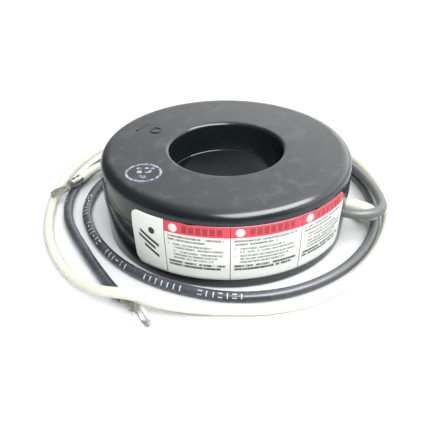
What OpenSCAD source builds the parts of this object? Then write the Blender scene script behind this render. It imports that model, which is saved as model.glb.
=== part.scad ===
// Window type current transformer with two flexible leads.
// A deep moulded cup and a shallow cap close round a wound toroid.
// Millimetres, +Z up, origin at the centre of the base.
// The leads leave the side wall on the +X side and lie in loose turns round the case.

/* [Case] */
// Outside diameter of the case
case_od = 91; // [86:0.5:100]
// Height of the case
case_h = 30.5; // [28:0.5:40]
// Diameter of the window through the case
window_d = 41.2; // [34:0.2:43]
// Thickness of the moulded walls
wall = 2.5; // [2:0.1:3]
// Height of the joint between cup and cap above the base
joint_z = 19; // [18:0.5:20]
// Draft angle of the cup's side wall
wall_draft = 4.5; // [2:0.5:5]
// Radius of the rounded shoulder of the cap
shoulder_r = 3.8; // [2.5:0.1:4.5]
// Radius of the rounded lips of the window
lip_r = 1.5; // [1:0.1:2.4]
// Radius along the bottom edge of the cup
base_edge_r = 1.2; // [0.6:0.1:2]
// Depth of the lapped joint between cup and cap
lap_h = 2; // [1:0.1:3]
// Clearance between the two sides of the lapped joint
lap_gap = 0.06; // [0.02:0.01:0.15]
// Chamfer that marks the joint line outside and in the window
seam_chamfer = 0.35; // [0.1:0.05:0.5]
// Number of ribs that centre the wound core in the cup
rib_count = 7; // [3:1:7]
// Thickness of a rib
rib_t = 1.4; // [0.8:0.1:2]

/* [Wound core] */
// Inside diameter of the steel strip core
core_id = 53; // [50:0.5:56]
// Outside diameter of the steel strip core
core_od = 65; // [58:0.5:73]
// Height of the steel strip core
core_h = 16; // [10:0.5:18]
// Wall of the insulating cups on the core
core_cup_t = 1; // [0.6:0.1:1.2]
// Number of turns of the secondary winding
turns = 40; // [20:1:60]
// Thickness of the winding wire
wire_d = 1.4; // [0.8:0.1:1.6]
// Thickness of the insulating bands inside and outside the winding
band_t = 0.5; // [0.3:0.1:0.8]
// Clearance between the layers of the wound core
layer_gap = 0.1; // [0.05:0.05:0.2]

/* [Leads] */
// Diameter of each insulated lead
lead_d = 3.6; // [3:0.1:3.8]
// Diameter of the stranded conductor in a lead
conductor_d = 1.5; // [1.2:0.1:1.8]
// Wall of the ferrules that join the conductors to the winding
ferrule_t = 0.55; // [0.3:0.05:0.7]
// Height of the lead holes above the base
lead_z = 14.5; // [11:0.5:15]
// Direction of the black lead's hole, in degrees from +X
black_angle = -24.6; // [-30:0.1:-22]
// Direction of the white lead's hole, in degrees from +X
white_angle = -16.6; // [-18:0.1:-10]
// Clearance round a lead in its hole
lead_gap = 0.15; // [0.05:0.05:0.4]
// Depth to which a lead enters the case from the outside of the wall
lead_entry = 3.1; // [2.6:0.1:3.4]
// Radial depth of the cast block that holds the lead ends
anchor_t = 3.4; // [2.5:0.1:5]

/* [Ring terminals] */
// Outside diameter of the ring
ring_od = 8; // [7.5:0.1:10]
// Diameter of the stud hole in the ring
stud_d = 5; // [3.5:0.1:5.5]
// Thickness of the ring's metal
tongue_t = 0.8; // [0.6:0.1:1]
// Length of the crimp barrel
barrel_l = 5.5; // [4.5:0.1:7]
// Outside diameter of the crimp barrel
barrel_d = 3.6; // [3.2:0.1:3.8]
// Distance from the barrel to the centre of the ring
ring_reach = 6; // [5.5:0.1:8]
// Width of the neck between barrel and ring
neck_w = 3.4; // [2.5:0.1:3.6]

/* [Label] */
// Direction of the label's first end, in degrees from +X
label_start = -133; // [-140:1:-120]
// Direction of the label's last end, in degrees from +X
label_end = -28.5; // [-60:0.5:-28]
// Height of the label's lower edge above the base
label_low = 4.1; // [3:0.1:8]
// Height of the label's upper edge above the base
label_high = 25.6; // [21:0.1:26.4]
// Thickness of the label
label_t = 0.25; // [0.15:0.05:0.4]
// Radius of the label's corners
label_corner = 3; // [1:0.5:4]

/* [Hidden] */
$fn = 96;
eps = 0.01;
// How far a cutter runs past the part it cuts
over = 1;
// Chamfer along the edges of the steel core
core_edge = 0.4;
// Clearance between the ribs and the cap
rib_gap = 1;
// Indents of a crimp: radius, rise of the centre as a share of it, places along the barrel
dent_r = 1.2;
dent_rise = 0.6;
dent_places = [0.32, 0.72];
// Sides of the cutter for a label corner, and how much wider than the corner it is
corner_sides = 12;
corner_ease = 1.02;

// Case radii
case_r = case_od / 2;
window_r = window_d / 2;
cavity_in = window_r + wall;
cavity_out = case_r - wall;
lap_t = (wall - lap_gap) / 2;
rabbet = wall - lap_t;
cap_lap_z = joint_z - lap_h;
base_drop = (joint_z - base_edge_r + base_edge_r * sin(wall_draft)) * tan(wall_draft);
base_cx = case_r - base_edge_r * cos(wall_draft) - base_drop;
cup_floor_r = cavity_out - (joint_z - wall) * tan(wall_draft);

// Wound core radii, from the core outwards and inwards
cup_in = core_id / 2 - layer_gap - core_cup_t;
cup_out = core_od / 2 + layer_gap + core_cup_t;
turn_in = cup_in - wire_d;
turn_out = cup_out + wire_d;
inner_band_r = turn_in - layer_gap - band_t;
outer_band_r = turn_out + layer_gap + band_t;

// Heights inside the case
wound_h = core_h + 2 * (layer_gap + core_cup_t + wire_d);
cavity_h = case_h - 2 * wall;
mid_z = wall + cavity_h / 2;
spacer_h = (cavity_h - wound_h) / 2 - layer_gap;
wound_low = mid_z - wound_h / 2;
core_low = mid_z - core_h / 2;

// Ribs stand clear of the sector where the leads come in
lead_mid = (black_angle + white_angle) / 2;
rib_pitch = 45;
rib_in = outer_band_r + layer_gap;
rib_top = cap_lap_z - rib_gap;

// Lead anchor: a cast block on the side wall, behind the lead holes
anchor_span = 26;
anchor_low = lead_z - lead_d;
anchor_high = min(lead_z + lead_d, cap_lap_z - 2 * layer_gap);
anchor_in = cavity_out - anchor_t;
lead_start_r = case_r - lead_entry;
splice_d = conductor_d + 2 * ferrule_t;
splice_in = norm([turn_out, wire_d / 2]);
lead_r = lead_d / 2;
// Straight length of a lead just outside the wall
lead_out = 0.5;

// Lead routes, swept through points chosen along the way
cord_sides = 8;
black_route = [
    [45.9, -20.3, 14.4], [50.3, -19.6, 14.1], [54.1, -16.8, 13.5], [56.4, -12, 12.4],
    [57.4, -5.5, 10.9], [57.8, 3, 9], [57, 13, 7.3], [53.3, 28.5, 5.8], [44.4, 44.2, 5.2],
    [33, 51.2, 3], [16, 55.5, 1.8], [-4, 56.8, 1.8], [-24, 52.5, 1.8], [-41, 41, 1.8],
    [-51.5, 22.5, 1.8], [-54, 4, 1.8], [-49.5, -12.5, 1.8], [-40.5, -27.5, 1.8],
    [-28, -39.3, 1.8], [-13, -47, 1.8], [3, -50.5, 1.8], [19.5, -48.3, 1.8],
    [34.5, -40.3, 1.8], [46.5, -27.8, 1.8], [54.5, -12, 1.8], [57.5, 5, 1.8], [55.5, 24, 1.8],
    [48, 42, 1.8], [34, 57, 1.8], [14, 66.5, 1.8], [-9, 68, 1.8], [-32, 61, 1.8],
    [-51.5, 45.5, 1.8], [-61, 22.5, 1.8], [-60.3, -2, 1.8], [-50, -25, 1.8], [-38.3, -45, 1.9],
    [-32.5, -53, 2.9]
];
white_route = [
    [47.7, -14, 14.1], [51.1, -13.4, 12.6], [53.5, -11.6, 10], [54.2, -9.1, 7.1],
    [53.4, -6.4, 4.5], [51.7, -3.4, 2.6], [49.7, 0.3, 1.8], [48.2, 5, 1.8], [47.3, 12, 1.8],
    [46, 19.9, 1.8], [43.8, 27.6, 1.8], [40, 34.5, 1.8], [28, 44.5, 3.4], [12, 54, 5.5],
    [-5, 62.5, 5.8], [-22, 69.3, 5.5], [-38, 69.5, 2.8], [-52.5, 60.5, 1.8], [-62.5, 44, 1.8],
    [-67.7, 24, 1.8], [-68, 3, 1.8], [-64, -18, 1.8], [-54.5, -37, 1.8], [-42.5, -50.2, 4.8],
    [-31, -56, 7.3], [-18, -57.8, 4.6], [-3, -57, 1.8], [14, -56.5, 1.8], [30, -51, 1.8],
    [45, -38, 1.8], [57, -17.5, 1.8], [63, 6, 1.8], [61, 29, 2.4], [50, 48.5, 5],
    [33, 58.5, 5.5], [13, 62, 4.6], [-7, 61.2, 1.8], [-26, 57, 1.8], [-42, 45, 3.4],
    [-53.2, 30.6, 5.65], [-59.3, 21.2, 5.45]
];
// Roll of each ring terminal about the end of its lead
black_roll = 98;
white_roll = 18;

black_path = concat(through_wall(black_angle), black_route);
white_path = concat(through_wall(white_angle), white_route);

// Straight first stretch of a lead, from its splice to just outside the wall
function through_wall(angle) =
    [for (r = [lead_start_r, case_r + lead_out]) [r * cos(angle), r * sin(angle), lead_z]];
function unit(v) = v / norm(v);

// Direction of a path at point i: along the chord through its neighbours
function heading(path, i) =
    i == 0 ? unit([path[0][0], path[0][1], 0])
    : i == len(path) - 1 ? unit(path[i] - path[i - 1])
    : unit(unit(path[i + 1] - path[i]) + unit(path[i] - path[i - 1]));

// Ring of points square to the path at point i
function cord_ring(path, i, r) =
    let (
        along = heading(path, i),
        side = unit(cross([0, 0, 1], along)),
        up = cross(along, side)
    )
    [for (k = [0 : cord_sides - 1])
        let (a = 360 * (k + 0.5) / cord_sides)
        path[i] + r * (cos(a) * side + sin(a) * up)];

// Round tube swept along a path
module cord(path, r) {
    n = cord_sides;
    points = [for (i = [0 : len(path) - 1]) each cord_ring(path, i, r)];
    last = (len(path) - 1) * n;
    walls = [
        for (i = [0 : len(path) - 2], k = [0 : n - 1])
        let (a = i * n + k, b = i * n + (k + 1) % n)
        each [[a, a + n, b + n], [a, b + n, b]]
    ];
    start = [[for (k = [0 : n - 1]) k]];
    end = [[for (k = [n - 1 : -1 : 0]) last + k]];
    polyhedron(points, concat(walls, start, end));
}

// Ring with square section, standing on height z
module ring(r_out, r_in, h, z) {
    translate([0, 0, z])
    difference() {
        cylinder(r = r_out, h = h);
        translate([0, 0, -over]) cylinder(r = r_in, h = h + 2 * over);
    }
}

// Half section of the cup's outside, with its window and rounded edges
module cup_section() {
    difference() {
        union() {
            polygon([
                [window_r, lip_r],
                [window_r + lip_r, 0],
                [base_cx, 0],
                [base_cx + base_edge_r * cos(wall_draft), base_edge_r - base_edge_r * sin(wall_draft)],
                [case_r - seam_chamfer * tan(wall_draft), joint_z - seam_chamfer],
                [case_r - seam_chamfer, joint_z],
                [window_r + seam_chamfer, joint_z],
                [window_r, joint_z - seam_chamfer]
            ]);
            translate([base_cx, base_edge_r]) circle(base_edge_r);
            translate([window_r + lip_r, lip_r]) circle(lip_r);
        }
        cup_cavity();
    }
}

// Half section of the space inside the cup, with the rabbet for the cap
module cup_cavity() {
    polygon([
        [cavity_in, wall],
        [cup_floor_r, wall],
        [cavity_out, joint_z],
        [cavity_out, joint_z + over],
        [cavity_in, joint_z + over]
    ]);
    translate([cavity_in - rabbet, cap_lap_z])
        square([cavity_out - cavity_in + 2 * rabbet, lap_h + over]);
}

// Half section of the cap, with its shoulder, its lip and its two tongues
module cap_section() {
    top = case_h - shoulder_r;
    difference() {
        union() {
            translate([window_r, joint_z]) square([lip_r, case_h - lip_r - joint_z]);
            translate([window_r + lip_r, joint_z])
                square([case_r - window_r - lip_r, case_h - joint_z]);
            translate([window_r + lip_r, case_h - lip_r]) circle(lip_r);
        }
        difference() {
            translate([case_r - shoulder_r, top]) square(shoulder_r + over);
            translate([case_r - shoulder_r, top]) circle(shoulder_r);
        }
        translate([cavity_in, joint_z - over])
            square([cavity_out - cavity_in, case_h - wall - joint_z + over]);
    }
    translate([cavity_in - lap_t, cap_lap_z]) square([lap_t, lap_h + eps]);
    translate([cavity_out, cap_lap_z]) square([lap_t, lap_h + eps]);
}

// Holes for both leads through the side wall
module lead_holes() {
    for (angle = [black_angle, white_angle])
        radial_rod(angle, cavity_out - wall, case_r + wall, lead_r + lead_gap);
}

// Ribs on the inside of the side wall
module cup_ribs() {
    rib_out = cup_floor_r + wall / 2;
    for (k = [0 : rib_count - 1])
        rotate([0, 0, lead_mid + 180 + (k - (rib_count - 1) / 2) * rib_pitch])
        translate([rib_in, -rib_t / 2, wall - eps])
            cube([rib_out - rib_in, rib_t, rib_top - wall]);
}

module case_cup() {
    color([0.13, 0.13, 0.13])
    difference() {
        union() {
            rotate_extrude() cup_section();
            cup_ribs();
        }
        lead_holes();
    }
}

module case_cap() {
    color([0.16, 0.16, 0.17]) rotate_extrude() cap_section();
}

// Washers that hold the wound core clear of the floor and the cap
module lower_spacer() {
    color([0.45, 0.45, 0.42])
        ring(turn_out - wire_d, turn_in + wire_d, spacer_h, wall);
}

module upper_spacer() {
    color([0.45, 0.45, 0.42])
        ring(turn_out - wire_d, turn_in + wire_d, spacer_h, case_h - wall - spacer_h);
}

// Coiled steel strip, with a small chamfer on each edge
module core() {
    r_in = core_id / 2;
    r_out = core_od / 2;
    low = core_edge;
    high = core_h - core_edge;
    color([0.55, 0.57, 0.6])
    translate([0, 0, core_low])
    rotate_extrude()
    polygon([
        [r_in + low, 0], [r_out - low, 0], [r_out, low], [r_out, high],
        [r_out - low, core_h], [r_in + low, core_h], [r_in, high], [r_in, low]
    ]);
}

// Open channel that covers half of the core
module core_cup() {
    half_h = wound_h / 2 - wire_d;
    color([0.85, 0.83, 0.72])
    difference() {
        ring(cup_out, cup_in, half_h, 0);
        ring(cup_out - core_cup_t, cup_in + core_cup_t, half_h, core_cup_t);
    }
}

module core_cup_lower() {
    translate([0, 0, wound_low + wire_d]) core_cup();
}

module core_cup_upper() {
    translate([0, 0, mid_z + wound_h / 2 - wire_d]) mirror([0, 0, 1]) core_cup();
}

// Rectangle with round corners, between two corners of its own
module round_rect(low, high, r) {
    w = high[0] - low[0];
    h = high[1] - low[1];
    translate([low[0], low[1] + r]) square([w, h - 2 * r]);
    translate([low[0] + r, low[1]]) square([w - 2 * r, h]);
    for (x = [low[0] + r, high[0] - r], y = [low[1] + r, high[1] - r])
        translate([x, y]) circle(r);
}

// One turn of the winding round the core cups
module winding_turn() {
    leg_in = cup_in * cos(asin(wire_d / 2 / cup_in));
    rotate([90, 0, 0])
    linear_extrude(wire_d, center = true)
    difference() {
        round_rect([turn_in, wound_low], [turn_out, wound_low + wound_h], wire_d);
        translate([leg_in, wound_low + wire_d])
            square([cup_out - leg_in, wound_h - 2 * wire_d]);
    }
}

module secondary_winding() {
    color([0.72, 0.42, 0.2])
    for (k = [0 : turns - 1]) rotate([0, 0, 360 * k / turns]) winding_turn();
}

module inner_band() {
    color([0.75, 0.7, 0.55])
        ring(inner_band_r + band_t, inner_band_r, wound_h, wound_low);
}

// Outer band, with a hole for each splice
module outer_band() {
    color([0.75, 0.7, 0.55])
    difference() {
        ring(outer_band_r, outer_band_r - band_t, wound_h, wound_low);
        for (angle = [black_angle, white_angle])
            radial_rod(angle, turn_out - over, outer_band_r + over, splice_d / 2 + lead_gap);
    }
}

// Rod along a radius at the height of the leads
module radial_rod(angle, r_from, r_to, r) {
    rotate([0, 0, angle])
    translate([r_from, 0, lead_z])
    rotate([0, 90, 0]) cylinder(r = r, h = r_to - r_from);
}

// Cast block that holds the lead ends and the splices
module lead_anchor() {
    slope = tan(wall_draft);
    drop_low = (joint_z - anchor_low) * slope;
    drop_high = (joint_z - anchor_high) * slope;
    color([0.2, 0.2, 0.24])
    difference() {
        rotate([0, 0, lead_mid - anchor_span / 2])
        rotate_extrude(angle = anchor_span)
        polygon([
            [anchor_in, anchor_low],
            [cavity_out - drop_low, anchor_low],
            [cavity_out - drop_high, anchor_high],
            [anchor_in, anchor_high]
        ]);
        for (angle = [black_angle, white_angle]) {
            radial_rod(angle, lead_start_r, case_r, lead_r + lead_gap);
            radial_rod(angle, anchor_in - over, lead_start_r + eps, splice_d / 2 + lead_gap);
        }
    }
}

// Ferrule that joins a lead's conductor to the winding
module splice(angle) {
    color([0.8, 0.8, 0.82])
        radial_rod(angle, splice_in, lead_start_r, splice_d / 2);
}

module black_splice() { splice(black_angle); }
module white_splice() { splice(white_angle); }

module black_lead() {
    color([0.12, 0.12, 0.13]) cord(black_path, lead_r);
}

module white_lead() {
    color([0.93, 0.93, 0.86]) cord(white_path, lead_r);
}

// Crimped ring terminal: barrel along +X from the lead's end, then neck and ring
module ring_terminal() {
    ring_x = barrel_l + ring_reach;
    neck_x = barrel_l - tongue_t;
    color([0.75, 0.75, 0.76])
    difference() {
        union() {
            rotate([0, 90, 0]) cylinder(d = barrel_d, h = barrel_l);
            translate([neck_x, -neck_w / 2, -tongue_t / 2])
                cube([ring_x - neck_x - stud_d / 2, neck_w, tongue_t]);
            translate([ring_x, 0, -tongue_t / 2]) cylinder(d = ring_od, h = tongue_t);
        }
        translate([ring_x, 0, -tongue_t]) cylinder(d = stud_d, h = 2 * tongue_t);
        translate([eps, 0, 0]) crimp_marks();
    }
}

// Two indents pressed across the top of the barrel
module crimp_marks() {
    for (place = dent_places)
        translate([barrel_l * place, 0, barrel_d / 2 + dent_r * dent_rise])
        rotate([90, 0, 0]) cylinder(r = dent_r, h = barrel_d, center = true);
}

// Places a terminal on the end of a lead, along the lead's last stretch
module at_lead_end(path, roll) {
    tip = path[len(path) - 1];
    along = tip - path[len(path) - 2];
    turn = atan2(along[1], along[0]);
    rise = atan2(along[2], norm([along[0], along[1]]));
    translate(tip)
    rotate([0, 0, turn]) rotate([0, -rise, 0]) rotate([roll, 0, 0])
        children();
}

module black_terminal() { at_lead_end(black_path, black_roll) ring_terminal(); }
module white_terminal() { at_lead_end(white_path, white_roll) ring_terminal(); }

// Half section of a skin on the side wall between two heights
module skin_section(low, high) {
    slope = tan(wall_draft);
    low_r = case_r - max(0, joint_z - low) * slope;
    polygon([
        [low_r, low], [low_r + label_t, low],
        [case_r + label_t, joint_z], [case_r + label_t, high],
        [case_r, high], [case_r, joint_z]
    ]);
}

// Skin on the side wall between two directions and two heights
module skin(from, to, low, high) {
    rotate([0, 0, from])
        rotate_extrude(angle = to - from) skin_section(low, high);
}

// Cutter for one square corner of the label, outside its rounding
module label_corner_cut(angle, z, side, rise) {
    size = 2 * label_corner;
    rotate([0, 0, angle])
    difference() {
        translate([case_r - 2 * wall, side > 0 ? 0 : -size, rise > 0 ? z : z - size])
            cube([4 * wall, size, size]);
        translate([case_r - 3 * wall, 0, z])
            rotate([0, 90, 0])
            cylinder(r = corner_ease * label_corner, h = 6 * wall, $fn = corner_sides);
    }
}

// Label with round corners, wrapped over the joint of the case
module label() {
    turn = asin(label_corner / case_r);
    color([0.93, 0.93, 0.92])
    difference() {
        skin(label_start, label_end, label_low, label_high);
        for (rise = [-1, 1]) {
            z = rise > 0 ? label_high - label_corner : label_low + label_corner;
            label_corner_cut(label_start + turn, z, -1, rise);
            label_corner_cut(label_end - turn, z, 1, rise);
        }
    }
}

case_cup();
case_cap();
lower_spacer();
upper_spacer();
core();
core_cup_lower();
core_cup_upper();
secondary_winding();
inner_band();
outer_band();
lead_anchor();
black_splice();
white_splice();
black_lead();
white_lead();
black_terminal();
white_terminal();
label();
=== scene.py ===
"""Looks of a window type current transformer: moulded ring case, wrapped label and two loose leads."""

import math

import bpy
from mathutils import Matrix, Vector


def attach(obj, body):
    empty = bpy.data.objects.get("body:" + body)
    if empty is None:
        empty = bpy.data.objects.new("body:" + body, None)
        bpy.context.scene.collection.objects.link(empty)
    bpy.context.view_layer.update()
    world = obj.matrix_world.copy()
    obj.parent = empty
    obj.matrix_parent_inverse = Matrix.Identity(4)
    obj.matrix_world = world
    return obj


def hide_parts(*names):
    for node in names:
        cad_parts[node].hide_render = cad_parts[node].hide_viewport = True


MM = 0.001

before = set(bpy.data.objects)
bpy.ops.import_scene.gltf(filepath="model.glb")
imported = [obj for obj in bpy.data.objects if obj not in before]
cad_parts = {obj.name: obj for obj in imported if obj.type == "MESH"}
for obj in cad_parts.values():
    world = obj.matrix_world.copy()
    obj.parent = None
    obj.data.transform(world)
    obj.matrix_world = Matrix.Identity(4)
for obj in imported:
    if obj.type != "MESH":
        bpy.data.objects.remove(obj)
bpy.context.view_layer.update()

# Sizes shared with the solids, in millimetres
CASE_R = 45.5
CASE_H = 30.5
JOINT_Z = 19.0
WALL_DRAFT = math.radians(4.5)
SHOULDER_R = 3.8
LEAD_D = 3.6
# Height of the leads in their holes, radius of their inner ends, and how far past the case's
# radius they run straight
LEAD_Z = 14.5
LEAD_START_R = 42.4
LEAD_OUT = 0.5
# Directions of the lead holes, in degrees from +X
BLACK_ANGLE = -24.6
WHITE_ANGLE = -16.6

# Routes of the leads, in millimetres: the points of the solids
BLACK_ROUTE = [
    (45.9, -20.3, 14.4), (50.3, -19.6, 14.1), (54.1, -16.8, 13.5), (56.4, -12, 12.4),
    (57.4, -5.5, 10.9), (57.8, 3, 9), (57, 13, 7.3), (53.3, 28.5, 5.8), (44.4, 44.2, 5.2),
    (33, 51.2, 3), (16, 55.5, 1.8), (-4, 56.8, 1.8), (-24, 52.5, 1.8), (-41, 41, 1.8),
    (-51.5, 22.5, 1.8), (-54, 4, 1.8), (-49.5, -12.5, 1.8), (-40.5, -27.5, 1.8),
    (-28, -39.3, 1.8), (-13, -47, 1.8), (3, -50.5, 1.8), (19.5, -48.3, 1.8),
    (34.5, -40.3, 1.8), (46.5, -27.8, 1.8), (54.5, -12, 1.8), (57.5, 5, 1.8), (55.5, 24, 1.8),
    (48, 42, 1.8), (34, 57, 1.8), (14, 66.5, 1.8), (-9, 68, 1.8), (-32, 61, 1.8),
    (-51.5, 45.5, 1.8), (-61, 22.5, 1.8), (-60.3, -2, 1.8), (-50, -25, 1.8), (-38.3, -45, 1.9),
    (-32.5, -53, 2.9),
]
WHITE_ROUTE = [
    (47.7, -14, 14.1), (51.1, -13.4, 12.6), (53.5, -11.6, 10), (54.2, -9.1, 7.1),
    (53.4, -6.4, 4.5), (51.7, -3.4, 2.6), (49.7, 0.3, 1.8), (48.2, 5, 1.8), (47.3, 12, 1.8),
    (46, 19.9, 1.8), (43.8, 27.6, 1.8), (40, 34.5, 1.8), (28, 44.5, 3.4), (12, 54, 5.5),
    (-5, 62.5, 5.8), (-22, 69.3, 5.5), (-38, 69.5, 2.8), (-52.5, 60.5, 1.8), (-62.5, 44, 1.8),
    (-67.7, 24, 1.8), (-68, 3, 1.8), (-64, -18, 1.8), (-54.5, -37, 1.8), (-42.5, -50.2, 4.8),
    (-31, -56, 7.3), (-18, -57.8, 4.6), (-3, -57, 1.8), (14, -56.5, 1.8), (30, -51, 1.8),
    (45, -38, 1.8), (57, -17.5, 1.8), (63, 6, 1.8), (61, 29, 2.4), (50, 48.5, 5),
    (33, 58.5, 5.5), (13, 62, 4.6), (-7, 61.2, 1.8), (-26, 57, 1.8), (-42, 45, 3.4),
    (-53.2, 30.6, 5.65), (-59.3, 21.2, 5.45),
]


# Camera

CAMERA_DISTANCE = 0.273
CAMERA_ELEVATION = math.radians(32.6)


def make_camera():
    """Camera in front of the label and above it, aimed at the centre of the base."""
    data = bpy.data.cameras.new("camera")
    data.sensor_width = 36
    data.lens = 59.2
    data.shift_x = -0.026
    data.shift_y = 0.0063
    data.clip_start, data.clip_end = 0.01, 20
    camera = bpy.data.objects.new("camera", data)
    toward = Vector((0, -math.cos(CAMERA_ELEVATION), math.sin(CAMERA_ELEVATION)))
    camera.location = CAMERA_DISTANCE * toward
    camera.rotation_euler = (-camera.location).to_track_quat("-Z", "Y").to_euler()
    bpy.context.collection.objects.link(camera)
    bpy.context.scene.camera = camera


# Mesh helpers

def new_piece(name, verts, faces, material, smooth=True):
    """Mesh object in the row frame that rides on the part's one body."""
    mesh = bpy.data.meshes.new(name)
    mesh.from_pydata([tuple(v) for v in verts], [], faces)
    mesh.validate()
    mesh.polygons.foreach_set("use_smooth", [smooth] * len(mesh.polygons))
    mesh.materials.append(material)
    obj = bpy.data.objects.new(name, mesh)
    bpy.context.collection.objects.link(obj)
    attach(obj, "root")
    return obj


def set_values(obj, values):
    """Gives each named list of numbers to the mesh, one number a vertex."""
    for key, numbers in values.items():
        obj.data.attributes.new(key, "FLOAT", "POINT").data.foreach_set("value", numbers)


def on_circle(radius, turn):
    return Vector((radius * math.cos(turn), radius * math.sin(turn), 0))


def catmull_rom(points, steps):
    """Smooth line through the points, with the given number of steps between two of them."""
    ends = [2 * points[0] - points[1]] + points + [2 * points[-1] - points[-2]]
    line = []
    for a, b, c, d in zip(ends, ends[1:], ends[2:], ends[3:]):
        for k in range(steps):
            t = k / steps
            line.append(0.5 * (
                2 * b + (c - a) * t + (2 * a - 5 * b + 4 * c - d) * t * t
                + (3 * b - a - 3 * c + d) * t ** 3
            ))
    return line + [points[-1]]


def spaced(line, gap):
    """The same line with points a fixed gap apart."""
    out, left = [line[0]], gap
    for a, b in zip(line, line[1:]):
        run = (b - a).length
        while run > left:
            a = a + (b - a) * (left / run)
            run = (b - a).length
            out.append(a)
            left = gap
        left -= run
    if (line[-1] - out[-1]).length > gap / 3:
        out.append(line[-1])
    return out


# Node helpers

class Shader:
    """Short calls for building one material's nodes."""

    def __init__(self, name):
        self.material = bpy.data.materials.new(name)
        self.material.use_nodes = True
        self.tree = self.material.node_tree
        self.surface = self.tree.nodes["Principled BSDF"]

    def link(self, value, socket):
        """Joins a socket to the input, or sets the input to a plain value."""
        if isinstance(value, bpy.types.NodeSocket):
            self.tree.links.new(value, socket)
        elif value is not None:
            socket.default_value = value

    def node(self, kind, inputs=(), **settings):
        node = self.tree.nodes.new(kind)
        for key, value in settings.items():
            setattr(node, key, value)
        for key, value in dict(inputs).items():
            self.link(value, node.inputs[key])
        return node

    def math(self, operation, *values):
        node = self.node("ShaderNodeMath", operation=operation)
        for value, socket in zip(values, node.inputs):
            self.link(value, socket)
        return node.outputs[0]

    def add(self, a, b):
        return self.math("ADD", a, b)

    def mul(self, *values):
        out = values[0]
        for value in values[1:]:
            out = self.math("MULTIPLY", out, value)
        return out

    def invert(self, a):
        return self.math("SUBTRACT", 1.0, a)

    def apart(self, dx, dy):
        """Length of the line whose two components these are."""
        return self.math("SQRT", self.add(self.mul(dx, dx), self.mul(dy, dy)))

    def step(self, value, low, high, to_low=0.0, to_high=1.0):
        """0 below low, 1 above high and smooth between, or the same between two other values."""
        node = self.node("ShaderNodeMapRange", interpolation_type="SMOOTHSTEP")
        for key, entry in zip(
            ("Value", "From Min", "From Max", "To Min", "To Max"),
            (value, low, high, to_low, to_high),
        ):
            self.link(entry, node.inputs[key])
        return node.outputs["Result"]

    def band(self, value, low, high, soft):
        """1 between low and high, with soft edges."""
        return self.mul(
            self.step(value, low - soft, low + soft),
            self.step(value, high - soft, high + soft, 1.0, 0.0),
        )

    def box(self, x, y, centre, half, soft):
        """1 inside a rectangle with this centre and these half sizes."""
        return self.mul(
            self.band(x, centre[0] - half[0], centre[0] + half[0], soft),
            self.band(y, centre[1] - half[1], centre[1] + half[1], soft),
        )

    def coords(self):
        """Position in the row frame, in millimetres, and its x, y and z."""
        place = self.node("ShaderNodeTexCoord").outputs["Object"]
        scaled = self.node("ShaderNodeVectorMath", operation="SCALE")
        self.link(place, scaled.inputs[0])
        scaled.inputs["Scale"].default_value = 1 / MM
        split = self.node("ShaderNodeSeparateXYZ")
        self.link(scaled.outputs[0], split.inputs[0])
        return scaled.outputs[0], *split.outputs

    def attribute(self, name):
        return self.node("ShaderNodeAttribute", attribute_name=name).outputs["Fac"]

    def noise(self, vector, scale, detail=3.0, rough=0.5, distortion=0.0):
        return self.node("ShaderNodeTexNoise", {
            "Vector": vector, "Scale": scale, "Detail": detail,
            "Roughness": rough, "Distortion": distortion,
        }).outputs["Fac"]

    def mix(self, factor, a, b):
        """Color a where the factor is 0 and b where it is 1; 6, 7 and 2 are the color sockets."""
        node = self.node("ShaderNodeMix", data_type="RGBA")
        self.link(factor, node.inputs[0])
        self.link(a, node.inputs[6])
        self.link(b, node.inputs[7])
        return node.outputs[2]

    def bump(self, height, distance, strength=1.0, normal=None):
        return self.node("ShaderNodeBump", {
            "Height": height, "Distance": distance, "Strength": strength, "Normal": normal,
        }).outputs["Normal"]

    def set(self, **values):
        """Sets sockets of the surface shader; an underscore stands for a space."""
        for key, value in values.items():
            self.link(value, self.surface.inputs[key.replace("_", " ")])
        return self.material


def grey(value):
    return (value, value, value, 1.0)


# Materials

SMEAR = (0.085, 0.092, 0.105, 1)
SPECK = grey(0.30)
STAMP_INK = (0.50, 0.54, 0.74, 1)


def case_plastic(name, stamp=False):
    """Glossy black moulded plastic with faint smears, dust specks and fine scratches."""
    s = Shader(name)
    place, x, y, z = s.coords()
    cloud = s.noise(place, scale=0.05, detail=4)
    smear = s.step(s.noise(place, scale=0.13, detail=6, rough=0.62, distortion=0.8), 0.50, 0.68)
    specks = s.step(s.noise(place, scale=1.3, detail=2), 0.74, 0.79)
    stretched = s.node(
        "ShaderNodeVectorMath", {0: place, 1: (0.35, 2.6, 1.0)}, operation="MULTIPLY"
    ).outputs[0]
    scratch = s.noise(stretched, scale=0.9, detail=4, rough=0.6, distortion=0.4)
    marks = s.math("MAXIMUM", specks, s.step(scratch, 0.70, 0.75))
    flat_top = s.step(z, CASE_H - 0.3, CASE_H - 0.1)
    color = s.mix(cloud, (0.007, 0.010, 0.011, 1), (0.014, 0.019, 0.021, 1))
    color = s.mix(s.mul(smear, flat_top, 0.30), color, SMEAR)
    color = s.mix(s.mul(marks, flat_top, 0.45), color, SPECK)
    if stamp:
        color = s.mix(stamp_mask(s, place, x, y, flat_top), color, STAMP_INK)
    low = CASE_H - SHOULDER_R
    shoulder = s.step(z, low, low + 1.0, to_high=0.07)
    rough = s.add(s.step(cloud, 0.3, 0.7, 0.11, 0.16), shoulder)
    rough = s.add(rough, s.mul(smear, flat_top, 0.08))
    waves = s.bump(s.noise(place, scale=0.16, detail=2), distance=0.00006, strength=0.3)
    grain = s.noise(place, scale=2.4, detail=3)
    normal = s.bump(grain, distance=0.00001, strength=0.3, normal=waves)
    return s.set(Base_Color=color, Roughness=rough, Normal=normal, IOR=1.5)


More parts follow.
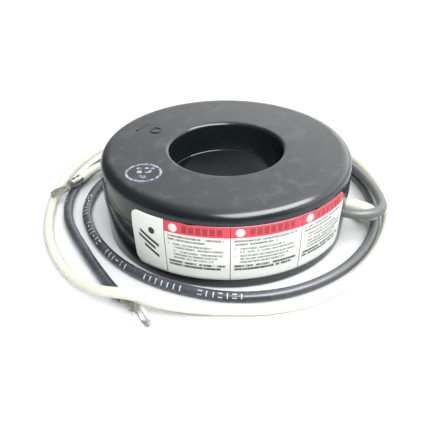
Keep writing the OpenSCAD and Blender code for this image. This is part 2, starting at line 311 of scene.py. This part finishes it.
# Ink stamp: centre and radius of its ring, half the ring's breadth, and the marks inside, each
# with its centre and half sizes
STAMP_CENTRE = (-28.1, -19.2)
STAMP_R = 5.9
STAMP_HALF = 0.42
STAMP_MARKS = (
    ((-1.7, 3.0), (0.9, 0.55)), ((0.9, 3.3), (0.7, 0.7)), ((2.9, 3.0), (0.6, 0.5)),
    ((-1.5, 0.5), (0.8, 0.9)), ((1.4, 0.3), (1.1, 0.4)), ((2.2, 1.1), (0.4, 0.6)),
    ((-0.2, -2.4), (1.0, 0.5)), ((0.4, -3.3), (0.8, 0.4)),
)


def stamp_mask(s, place, x, y, flat_top):
    """Ink stamp on the top face: a ring round a few plain blocks, worn in places."""
    dx = s.math("SUBTRACT", x, STAMP_CENTRE[0])
    dy = s.math("SUBTRACT", y, STAMP_CENTRE[1])
    mask = s.band(s.apart(dx, dy), STAMP_R - STAMP_HALF, STAMP_R + STAMP_HALF, 0.12)
    for centre, half in STAMP_MARKS:
        mask = s.math("MAXIMUM", mask, s.box(dx, dy, centre, half, 0.15))
    worn = s.step(s.noise(place, scale=1.1, detail=4, rough=0.7), 0.38, 0.56)
    return s.mul(mask, worn, flat_top, 0.85)


# Stretches of the black lead that carry the legend, in millimetres from its inner end
LEGEND_SPANS = ((206.0, 306.0), (561.0, 582.0))
# Direction that the legend faces, in degrees: 0 is the lead's inner side and 90 its top. It
# turns from the first to the second over this run from the start of the first stretch
LEGEND_TURNS = (98, 135)
LEGEND_TWIST_RUN = 60.0
# From one mark to the next, and from one group of marks to the next
LEGEND_PITCH = 2.25
LEGEND_GROUP = 20.5
LEGEND_INK = (0.74, 0.77, 0.82, 1)
# Stretches of the black lead painted pale, and how much: pale dust on the first, a painted sheen of
# reflected light on the second
DUST_AND_SHEEN_RUNS = ((-10.0, 70.0, 0.85), (325.0, 425.0, 0.7))
DUST_AND_SHEEN_FADE = 20.0
# Pale colour of the dust, also used as painted sheen on the second stretch
DUST_AND_SHEEN_COLOR = (0.128, 0.136, 0.130, 1)
# How much rougher the lead is under full dust and painted sheen than where it is clean
DUST_AND_SHEEN_ROUGH = 0.22


def lead_skin(name, dark, pale, dirt_color, rough, legend=False):
    """Extruded insulation with faint dirt; legend adds pale dust, a painted sheen and a row of printed
    marks.
    """
    s = Shader(name)
    place = s.coords()[0]
    along = s.attribute("along")
    across = s.attribute("across")
    cloud = s.noise(place, scale=0.12, detail=5, rough=0.6)
    color = s.mix(s.step(cloud, 0.35, 0.7), dark, pale)
    dirt = s.step(s.noise(place, scale=0.45, detail=5, rough=0.7), 0.56, 0.72)
    color = s.mix(s.mul(dirt, 0.25), color, dirt_color)
    gloss = s.step(cloud, 0.3, 0.7, rough, rough + 0.08)
    if legend:
        dust_and_sheen = 0.0
        for start, end, share in DUST_AND_SHEEN_RUNS:
            dust_and_sheen_run = s.mul(s.band(along, start, end, DUST_AND_SHEEN_FADE), share)
            dust_and_sheen = s.math("MAXIMUM", dust_and_sheen, dust_and_sheen_run)
        # pale paint: real dust on the first stretch, painted sheen in place of reflected light on the
        # second
        color = s.mix(dust_and_sheen, color, DUST_AND_SHEEN_COLOR)
        color = s.mix(legend_mask(s, place, along, across), color, LEGEND_INK)
        gloss = s.add(gloss, s.mul(dust_and_sheen, DUST_AND_SHEEN_ROUGH))
    drawn = s.node("ShaderNodeCombineXYZ", {"X": s.mul(along, 0.05), "Y": s.mul(across, 2.0)})
    lines = s.noise(drawn.outputs[0], scale=2.0, detail=2)
    grain = s.bump(s.noise(place, scale=1.8, detail=3), distance=0.00005, strength=0.2)
    normal = s.bump(lines, distance=0.00004, strength=0.3, normal=grain)
    return s.set(Base_Color=color, Roughness=gloss, Normal=normal)


def legend_mask(s, place, along, across):
    """Plain ticks, dashes and pairs of dashes along one side of a lead, in groups with gaps."""
    cell = s.math("DIVIDE", along, LEGEND_PITCH)
    run = s.mul(s.math("SUBTRACT", s.math("FRACT", cell), 0.5), LEGEND_PITCH)
    pick = s.node(
        "ShaderNodeTexWhiteNoise", {"W": s.math("FLOOR", cell)}, noise_dimensions="1D"
    ).outputs["Value"]
    from_axis = s.math("ABSOLUTE", across)
    wide = s.band(run, -0.7, 0.7, 0.07)
    tick = s.mul(s.band(run, -0.18, 0.18, 0.07), s.step(from_axis, 0.9, 1.0, 1.0, 0.0))
    dash = s.mul(wide, s.step(from_axis, 0.12, 0.22, 1.0, 0.0))
    pair = s.mul(wide, s.band(from_axis, 0.5, 0.85, 0.1))
    shapes = 0.0
    for shape, low, high in ((tick, 0.0, 0.5), (pair, 0.5, 0.75), (dash, 0.75, 0.9)):
        shapes = s.math("MAXIMUM", shapes, s.mul(shape, s.band(pick, low, high, 0.001)))
    groups = s.band(s.math("FRACT", s.math("DIVIDE", along, LEGEND_GROUP)), 0.06, 0.84, 0.01)
    printed = s.math("MAXIMUM", *(s.band(along, *span, 1.0) for span in LEGEND_SPANS))
    facing = s.step(s.attribute("facing"), 0.0, 0.2)
    worn = s.step(s.noise(place, scale=1.2, detail=3), 0.30, 0.46)
    return s.mul(shapes, groups, printed, worn, facing, 0.88)


def tinned_metal():
    """Bare tinned copper with a dull shine and fine scratches."""
    s = Shader("tinned_metal")
    place = s.coords()[0]
    cloud = s.noise(place, scale=0.5, detail=4, rough=0.6)
    scratch = s.noise(place, scale=2.4, detail=6, rough=0.7, distortion=1.5)
    return s.set(
        Base_Color=s.mix(s.step(cloud, 0.35, 0.7), (0.34, 0.335, 0.30, 1), (0.52, 0.51, 0.47, 1)),
        Metallic=1.0, Roughness=s.step(scratch, 0.3, 0.7, 0.40, 0.60),
        Normal=s.bump(scratch, distance=0.00005, strength=0.5),
    )


def plain(name, color, rough, grain_scale, depth, metallic=0.0):
    """Material of an inner piece: a base color with light grain."""
    s = Shader(name)
    grain = s.noise(s.coords()[0], scale=grain_scale, detail=5, rough=0.6)
    dark = tuple(0.75 * c for c in color) + (1,)
    return s.set(
        Base_Color=s.mix(s.step(grain, 0.3, 0.7), dark, color + (1,)),
        Roughness=s.step(grain, 0.3, 0.7, rough, rough + 0.12), Metallic=metallic,
        Normal=s.bump(grain, distance=depth, strength=0.5),
    )


# Label: its ends in degrees from +X, its heights above the base, and lengths in millimetres
LABEL_START, LABEL_END = -133.0, -28.5
LABEL_LOW, LABEL_HIGH = 4.1, 25.6
LABEL_CORNER = 3.0
LABEL_T = 0.2
LABEL_R = CASE_R + LABEL_T
LABEL_SPAN = math.radians(LABEL_END - LABEL_START) * LABEL_R
DIVIDERS = [math.radians(a - LABEL_START) * LABEL_R for a in (-116.0, -88.3, -57.3)]
DIVIDER_HALF = 0.14
# Rows of bars in a panel: height, half their own height, first and last share of the panel's
# width, strength of the ink
ROWS = [
    (20.2, 0.42, 0.0, 0.98, 0.80), (18.9, 0.42, 0.0, 0.66, 0.80), (17.1, 0.42, 0.09, 0.78, 0.68),
    (15.8, 0.42, 0.09, 0.96, 0.68), (14.2, 0.42, 0.09, 0.97, 0.68),
    (12.9, 0.42, 0.09, 0.86, 0.68), (11.6, 0.42, 0.09, 0.80, 0.68), (9.9, 0.46, 0.0, 1.0, 1.0),
    (8.6, 0.46, 0.0, 0.92, 1.0),
]
# Space left of the rows in a panel, and left and right of them together
ROW_LEFT, ROW_MARGINS = 1.2, 2.8
# Heights of the dots before the two lists, their place in the panel, and half their size
BULLETS = (17.1, 14.2)
BULLET_RIGHT = 0.35
BULLET_HALF = 0.25
# Red band: its lower edge; on it the disc's place and radius, and the blocks' first edge, the
# space after them, their pitch, and the share of it that each one fills
RED_LOW = 21.4
DISC_RIGHT, DISC_UP, DISC_R = 3.2, 1.95, 1.5
BLOCKS_LEFT, BLOCKS_RIGHT, BLOCK_PITCH = 6.0, 2.4, 2.3
BLOCK_SHARE = (0.12, 0.84)
BLOCK_LOW, BLOCK_HIGH = 0.75, 3.3
# Mark on the first panel: its centre, the dot, the slope and half breadth of the bars, and for
# each bar its rise and its two ends
EMBLEM_U, EMBLEM_V = DIVIDERS[0] / 2 + 0.4, LABEL_LOW + 10.5
EMBLEM_DOT = (1.4, 5.2, 1.25)
EMBLEM_SLOPE, EMBLEM_HALF = -0.55, 0.62
EMBLEM_BARS = ((1.9, -3.6, 3.9), (-0.4, -4.3, 2.4), (-2.7, -2.2, 3.6))
# Softness of printed edges
SOFT = 0.06
INK = grey(0.02)
FADED_INK = grey(0.05)
RED = (0.72, 0.055, 0.085, 1)
DARK_RED = (0.22, 0.02, 0.03, 1)
PALE = (0.84, 0.82, 0.80, 1)


def row_noise(s, u, row_id, along, between, detail):
    """Noise along the rows that differs from one row to the next."""
    place = s.node("ShaderNodeCombineXYZ", {"X": s.mul(u, along), "Y": s.mul(row_id, between)})
    return s.noise(place.outputs[0], scale=1.0, detail=detail)


def label_film():
    """White film with a plain red band, black dividers and rows of bars in place of words."""
    s = Shader("label_film")
    place = s.coords()[0]
    u = s.attribute("run")
    v = s.attribute("rise")
    cloud = s.noise(place, scale=0.09, detail=4)
    color = s.mix(cloud, (0.83, 0.84, 0.81, 1), (0.89, 0.89, 0.87, 1))
    row_id, rows = 0.0, []
    for i, (height, half, *_) in enumerate(ROWS):
        rows.append(s.band(v, height - half, height + half, 0.1))
        row_id = s.add(row_id, s.mul(rows[-1], float(i + 1)))
    words = s.step(row_noise(s, u, row_id, 0.8, 4.7, 2), 0.36, 0.42)
    letters = s.step(row_noise(s, u, row_id, 2.6, 9.1, 1), 0.38, 0.52, 0.55, 1.0)
    marks = blocks = discs = 0.0
    for start, end in zip(DIVIDERS, DIVIDERS[1:] + [LABEL_SPAN]):
        left, width = start + ROW_LEFT, end - start - ROW_MARGINS
        share = s.math("DIVIDE", s.math("SUBTRACT", u, left), width)
        for row, (*_, first, last, ink) in zip(rows, ROWS):
            marks = s.add(marks, s.mul(row, s.band(share, first, last, 0.01), ink))
        for height in BULLETS:
            spot = (left + BULLET_RIGHT, height)
            dot = s.box(u, v, spot, (BULLET_HALF, BULLET_HALF), SOFT)
            marks = s.add(marks, s.mul(dot, 0.8))
        first = start + BLOCKS_LEFT
        part = s.math("FRACT", s.math("DIVIDE", s.math("SUBTRACT", u, first), BLOCK_PITCH))
        blocks = s.add(blocks, s.mul(
            s.band(u, first, end - BLOCKS_RIGHT, SOFT), s.band(part, *BLOCK_SHARE, 0.05),
            s.band(v, RED_LOW + BLOCK_LOW, RED_LOW + BLOCK_HIGH, SOFT),
        ))
        discs = s.add(discs, disc(s, u, v, start + DISC_RIGHT, RED_LOW + DISC_UP, DISC_R))
    red = s.mul(
        s.step(v, RED_LOW - SOFT, RED_LOW + SOFT),
        s.step(u, DIVIDERS[0] - SOFT, DIVIDERS[0] + SOFT),
    )
    color = s.mix(s.mul(marks, words, letters), color, FADED_INK)
    color = s.mix(red, color, RED)
    color = s.mix(s.mul(blocks, 0.75), color, DARK_RED)
    color = s.mix(discs, color, PALE)
    for line in DIVIDERS:
        drawn = s.band(u, line - DIVIDER_HALF, line + DIVIDER_HALF, SOFT)
        color = s.mix(s.mul(drawn, 0.9), color, INK)
    color = s.mix(emblem_mask(s, u, v), color, INK)
    normal = s.bump(s.noise(place, scale=0.7, detail=3), distance=0.00004, strength=0.3)
    return s.set(Base_Color=color, Roughness=0.33, Normal=normal)


def disc(s, u, v, centre_u, centre_v, radius):
    away = s.apart(s.math("SUBTRACT", u, centre_u), s.math("SUBTRACT", v, centre_v))
    return s.step(away, radius - SOFT, radius + SOFT, 1.0, 0.0)


def emblem_mask(s, u, v):
    """Plain mark on the first panel: a dot over three slanted bars."""
    dot_u, dot_v, dot_r = EMBLEM_DOT
    mask = disc(s, u, v, EMBLEM_U + dot_u, EMBLEM_V + dot_v, dot_r)
    rise = s.math("SUBTRACT", v, s.mul(s.math("SUBTRACT", u, EMBLEM_U), EMBLEM_SLOPE))
    for shift, low, high in EMBLEM_BARS:
        middle = EMBLEM_V + shift
        bar = s.mul(
            s.band(u, EMBLEM_U + low, EMBLEM_U + high, SOFT),
            s.band(rise, middle - EMBLEM_HALF, middle + EMBLEM_HALF, SOFT),
        )
        mask = s.math("MAXIMUM", mask, bar)
    return mask


# Raised marks that the mould leaves on the cap, in millimetres: their height, how deep they
# start in the cap, how far their sides slope in, and the sides of a full circle
MARK_H = 0.28
MARK_SUNK = 0.05
MARK_SLOPE = 0.12
MARK_SIDES = 48
RING_CENTRE = Vector((-26.6, 14.0, 0))
RING_INNER, RING_OUTER = 1.75, 2.6
BAR_CENTRE = Vector((-32.0, 17.0, 0))
BAR_TURN = math.radians(60)
BAR_HALF_LONG, BAR_HALF_WIDE = 3.9, 0.5


def make_mould_marks(material):
    """Plain ring and bar on the top face, with sloped sides."""
    sides, foot, top = MARK_SIDES, CASE_H - MARK_SUNK, CASE_H + MARK_H
    turns = [2 * math.pi * k / sides for k in range(sides)]
    rings = (
        (RING_INNER, foot), (RING_INNER + MARK_SLOPE, top), (RING_OUTER - MARK_SLOPE, top),
        (RING_OUTER, foot),
    )
    verts = [
        (RING_CENTRE + on_circle(radius, turn) + Vector((0, 0, z))) * MM
        for radius, z in rings
        for turn in turns
    ]
    faces = []
    for j in range(len(rings)):
        a, b = j * sides, (j + 1) % len(rings) * sides
        for k in range(sides):
            after = (k + 1) % sides
            faces.append((a + k, b + k, b + after, a + after))
    new_piece("mould_ring", verts, faces, material, smooth=False)

    along = on_circle(1, BAR_TURN)
    across = Vector((-along.y, along.x, 0))
    verts = []
    for inset, z in ((0.0, foot), (MARK_SLOPE, top)):
        wide = BAR_HALF_WIDE - inset
        for turn in turns:
            end = math.copysign(BAR_HALF_LONG - BAR_HALF_WIDE, math.cos(turn))
            spot = (end + wide * math.cos(turn)) * along + wide * math.sin(turn) * across
            verts.append((BAR_CENTRE + spot + Vector((0, 0, z))) * MM)
    faces = []
    for k in range(sides):
        after = (k + 1) % sides
        faces.append((k, after, sides + after, sides + k))
    faces.append(tuple(range(sides, 2 * sides)))
    faces.append(tuple(reversed(range(sides))))
    new_piece("mould_bar", verts, faces, material, smooth=False)


# Leads

LEAD_SIDES = 20
# Steps between two points of a route, and the gap between two rings of the tube in millimetres
LEAD_STEPS = 24
LEAD_GAP = 0.9


def lead_line(route, angle):
    """Centreline of a lead from its splice inside the wall, never below the floor."""
    out = on_circle(1, math.radians(angle))
    start = [r * out + Vector((0, 0, LEAD_Z)) for r in (LEAD_START_R, CASE_R + LEAD_OUT)]
    line = catmull_rom(start + [Vector(p) for p in route], LEAD_STEPS)
    return spaced([Vector((p.x, p.y, max(p.z, LEAD_D / 2))) for p in line], LEAD_GAP)


def make_lead(name, route, angle, material):
    """Round tube along a route, with the values that its material draws the legend by."""
    line = lead_line(route, angle)
    values = {"along": [], "across": [], "facing": []}
    verts = []
    for i, place in enumerate(line):
        forward = (line[min(i + 1, len(line) - 1)] - line[max(i - 1, 0)]).normalized()
        side = Vector((0, 0, 1)).cross(forward).normalized()
        up = forward.cross(side)
        along = i * LEAD_GAP
        share = min(1.0, max(0.0, (along - LEGEND_SPANS[0][0]) / LEGEND_TWIST_RUN))
        first, last = LEGEND_TURNS
        legend_turn = math.radians(first + share * (last - first))
        for k in range(LEAD_SIDES):
            turn = 2 * math.pi * k / LEAD_SIDES
            spoke = math.cos(turn) * side + math.sin(turn) * up
            verts.append((place + LEAD_D / 2 * spoke) * MM)
            values["along"].append(along)
            values["across"].append(LEAD_D / 2 * math.sin(turn - legend_turn))
            values["facing"].append(math.cos(turn - legend_turn))
    faces = []
    for a in range(0, (len(line) - 1) * LEAD_SIDES, LEAD_SIDES):
        b = a + LEAD_SIDES
        for k in range(LEAD_SIDES):
            after = (k + 1) % LEAD_SIDES
            faces.append((a + k, a + after, b + after, b + k))
    faces.append(tuple(reversed(range(LEAD_SIDES))))
    faces.append(tuple(range(len(verts) - LEAD_SIDES, len(verts))))
    obj = new_piece(name, verts, faces, material)
    set_values(obj, values)
    return obj, line


def declare_lead(node):
    """Hides the CAD lead; the tube made by make_lead is drawn in its place."""
    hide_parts(node)


# Label

LABEL_COLUMNS, LABEL_ROWS = 220, 26
# Share of the label's height above which it lifts; where it lifts along it, how wide and how far
LIFT_ABOVE = 0.86
LIFTS = ((22.5, 1.6, 0.35), (66.5, 1.2, 0.3))
# Thickness of the film as a share of its distance from the wall
FILM_SHARE = 0.9


def wall_radius(z):
    """Outside radius of the case at height z: drafted cup, straight cap, rounded shoulder."""
    if z < JOINT_Z:
        return CASE_R - (JOINT_Z - z) * math.tan(WALL_DRAFT)
    over = max(0.0, z - (CASE_H - SHOULDER_R))
    return CASE_R - SHOULDER_R + math.sqrt(SHOULDER_R ** 2 - over ** 2)


def label_lift(u, share):
    """How far the film stands off the wall at a point near its upper edge."""
    near_edge = max(0.0, share - LIFT_ABOVE) / (1 - LIFT_ABOVE)
    return sum(far * math.exp(-((u - at) / width) ** 2) for at, width, far in LIFTS) * near_edge


def make_label(material):
    """Film with round corners on the side wall, lifted a little at two places on its upper edge."""
    verts, run, rise = [], [], []
    for i in range(LABEL_COLUMNS + 1):
        u = LABEL_SPAN * (0.5 - 0.5 * math.cos(math.pi * i / LABEL_COLUMNS))
        reach = max(0.0, LABEL_CORNER - min(u, LABEL_SPAN - u))
        inset = LABEL_CORNER - math.sqrt(max(0.0, LABEL_CORNER ** 2 - reach ** 2))
        turn = math.radians(LABEL_START) + u / LABEL_R
        for j in range(LABEL_ROWS + 1):
            share = j / LABEL_ROWS
            z = LABEL_LOW + inset + share * (LABEL_HIGH - LABEL_LOW - 2 * inset)
            radius = wall_radius(z) + LABEL_T + label_lift(u, share)
            verts.append((on_circle(radius, turn) + Vector((0, 0, z))) * MM)
            run.append(u)
            rise.append(z)
    faces = []
    for i in range(LABEL_COLUMNS):
        for a in range(i * (LABEL_ROWS + 1), (i + 1) * (LABEL_ROWS + 1) - 1):
            b = a + LABEL_ROWS + 1
            faces.append((a, b, b + 1, a + 1))
    obj = new_piece("label_sheet", verts, faces, material)
    set_values(obj, {"run": run, "rise": rise})
    solid = obj.modifiers.new("thickness", "SOLIDIFY")
    solid.thickness = LABEL_T * MM * FILM_SHARE
    solid.offset = -1
    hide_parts("label")


# Studio

# Floor, with lengths in millimetres except half its side, in metres
FLOOR_HALF = 4.0
FLOOR_PALE = (0.725, 0.745, 0.755, 1)
FLOOR_DARK = grey(0.02)
FLOOR_EMISSION = 1.18
# Circle round the loops of the leads, inside which the floor keeps its shadows; outside it the
# camera sees the floor lit, more and more over the next few millimetres
LOOPS_CENTRE = (-2.0, 7.0)
LOOPS_R = 64.0
LOOPS_FADE = 13.0
LIT_INSIDE = 0.04
# Where the floor that gloss sees is painted dark, as shade in place of a dim room, in front (y) and at
# the left (x): dark end, pale end, and how pale it still is at the dark end
FRONT_FADE = (-150.0, -95.0, 0.12)
LEFT_FADE = (-200.0, -100.0, 0.3)


def make_floor():
    """Pale floor, lit white for the camera, that gloss sees dark far in front and at the left."""
    s = Shader("floor")
    rays = s.node("ShaderNodeLightPath").outputs
    x, y = s.coords()[1:3]
    # painted shade: glossy rays see the floor darkened far in front and at the left
    fade = s.mul(s.step(y, *FRONT_FADE, 1.0), s.step(x, *LEFT_FADE, 1.0))
    far = s.mul(s.invert(fade), rays["Is Glossy Ray"])
    s.set(Base_Color=s.mix(far, FLOOR_PALE, FLOOR_DARK), Roughness=0.55)
    white = s.node("ShaderNodeEmission", {"Color": grey(1.0), "Strength": FLOOR_EMISSION})
    away = s.apart(
        s.math("SUBTRACT", x, LOOPS_CENTRE[0]), s.math("SUBTRACT", y, LOOPS_CENTRE[1])
    )
    lit = s.step(away, LOOPS_R, LOOPS_R + LOOPS_FADE, LIT_INSIDE, 1.0)
    both = s.node("ShaderNodeMixShader", {
        0: s.mul(rays["Is Camera Ray"], lit), 1: s.surface.outputs[0], 2: white.outputs[0],
    })
    s.link(both.outputs[0], s.tree.nodes["Material Output"].inputs["Surface"])
    mesh = bpy.data.meshes.new("floor")
    corners = ((-1, -1), (1, -1), (1, 1), (-1, 1))
    mesh.from_pydata([(FLOOR_HALF * x, FLOOR_HALF * y, 0) for x, y in corners], [], [(0, 1, 2, 3)])
    mesh.materials.append(s.material)
    floor = bpy.data.objects.new("floor", mesh)
    bpy.context.collection.objects.link(floor)


# How strong the world is, as ramps on a direction's x, y and z: from, to, strength at each. The
# two on z are added, and the sum is multiplied by the other two
WORLD_X = (-0.7, 0.5, 0.15, 2.85)
WORLD_Y = (-0.85, -0.2, 0.08, 1.0)
WORLD_Z = (0.35, 0.9, 0.68, 1.25)
WORLD_LOW_Z = (0.3, 0.52, 0.3, 0.0)
# Share of that strength for rays that aren't glossy
DIFFUSE_GLOW = 0.5


def make_world():
    """Bright overhead and at the right, dim at the left and in front; white for the camera."""
    world = bpy.data.worlds.new("studio")
    bpy.context.scene.world = world
    world.use_nodes = True
    tree = world.node_tree
    background = tree.nodes["Background"]

    def node(kind, inputs, **settings):
        made = tree.nodes.new(kind)
        for key, value in settings.items():
            setattr(made, key, value)
        for key, value in inputs.items():
            if isinstance(value, bpy.types.NodeSocket):
                tree.links.new(value, made.inputs[key])
            else:
                made.inputs[key].default_value = value
        return made.outputs

    def ramp(value, low, high, to_low, to_high):
        return node("ShaderNodeMapRange", {
            "Value": value, "From Min": low, "From Max": high, "To Min": to_low, "To Max": to_high,
        }, interpolation_type="SMOOTHSTEP")["Result"]

    def combine(operation, a, b):
        return node("ShaderNodeMath", {0: a, 1: b}, operation=operation)[0]

    def choose(share, a, b):
        """a where the share is 0 and b where it is 1; 2 and 3 are the sockets of the numbers."""
        return node("ShaderNodeMix", {0: share, 2: a, 3: b})[0]

    rays = node("ShaderNodeLightPath", {})
    direction = node("ShaderNodeTexCoord", {})["Generated"]
    split = node("ShaderNodeSeparateXYZ", {0: direction})
    upward = combine("ADD", ramp(split["Z"], *WORLD_Z), ramp(split["Z"], *WORLD_LOW_Z))
    glow = combine("MULTIPLY", ramp(split["X"], *WORLD_X), upward)
    glow = combine("MULTIPLY", glow, ramp(split["Y"], *WORLD_Y))
    glow = combine("MULTIPLY", glow, choose(rays["Is Glossy Ray"], DIFFUSE_GLOW, 1.0))
    strength = choose(rays["Is Camera Ray"], glow, 1.0)
    tree.links.new(strength, background.inputs["Strength"])
    background.inputs["Color"].default_value = grey(1.0)


def area_light(name, place, target, size, power, glossy=True, diffuse=True):
    """Rectangular light that is aimed at a target; place, target and size are in metres."""
    data = bpy.data.lights.new(name, "AREA")
    data.shape = "RECTANGLE"
    data.size, data.size_y = size
    data.energy = power
    lamp = bpy.data.objects.new(name, data)
    lamp.location = place
    lamp.rotation_euler = (Vector(target) - Vector(place)).to_track_quat("-Z", "Y").to_euler()
    lamp.visible_glossy = glossy
    lamp.visible_diffuse = diffuse
    bpy.context.collection.objects.link(lamp)


def make_studio():
    """Floor, world, a soft box that only gloss shows and a key light that gloss doesn't show."""
    bpy.context.scene.view_settings.view_transform = "Standard"
    make_floor()
    make_world()
    area_light(
        "soft_box", place=(0.27, -0.28, 0.47), target=(0, 0, 0.03), size=(0.78, 0.34), power=12,
        diffuse=False,
    )
    area_light(
        "key", place=(0.06, -0.36, 0.52), target=(0, 0, 0.02), size=(0.6, 0.4), power=4.8,
        glossy=False,
    )


# The whole object

def paint(node, material):
    """Gives a CAD node this material."""
    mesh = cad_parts[node].data
    mesh.materials.clear()
    mesh.materials.append(material)


def main():
    make_camera()
    metal = tinned_metal()
    black = lead_skin(
        "black_skin", dark=(0.048, 0.054, 0.066, 1), pale=(0.074, 0.084, 0.104, 1),
        dirt_color=(0.14, 0.14, 0.135, 1), rough=0.22, legend=True,
    )
    white = lead_skin(
        "white_skin", dark=(0.77, 0.77, 0.64, 1), pale=(0.83, 0.83, 0.72, 1),
        dirt_color=(0.58, 0.56, 0.43, 1), rough=0.50,
    )
    for color, route, angle, skin in (
        ("black", BLACK_ROUTE, BLACK_ANGLE, black), ("white", WHITE_ROUTE, WHITE_ANGLE, white),
    ):
        terminal = color + "_terminal"
        paint(terminal, metal)
        paint(color + "_splice", metal)
        lead, line = make_lead("lead_" + color, route, angle, skin)
        declare_lead(color + "_lead")

    paint("case_cup", case_plastic("cup_plastic"))
    paint("case_cap", case_plastic("cap_plastic", stamp=True))
    make_mould_marks(case_plastic("mark_plastic"))
    make_label(label_film())

    board = plain("spacer_board", (0.42, 0.40, 0.34), rough=0.75, grain_scale=1.5, depth=0.0001)
    cup_plastic = plain(
        "core_cup_plastic", (0.78, 0.75, 0.62), rough=0.5, grain_scale=2.0, depth=0.00004
    )
    paper = plain("band_paper", (0.70, 0.62, 0.42), rough=0.7, grain_scale=1.2, depth=0.00008)
    for node, material in (
        ("lower_spacer", board), ("upper_spacer", board), ("core_cup_lower", cup_plastic),
        ("core_cup_upper", cup_plastic), ("inner_band", paper), ("outer_band", paper),
    ):
        paint(node, material)
    paint("core", plain(
        "core_steel", (0.50, 0.51, 0.53), rough=0.30, grain_scale=6.0, depth=0.00004, metallic=1.0
    ))
    paint("secondary_winding", plain(
        "winding_enamel", (0.55, 0.22, 0.07), rough=0.25, grain_scale=3.0, depth=0.00003,
        metallic=0.6,
    ))
    paint("lead_anchor", plain(
        "anchor_resin", (0.03, 0.03, 0.035), rough=0.3, grain_scale=0.8, depth=0.00005
    ))

    make_studio()


main()
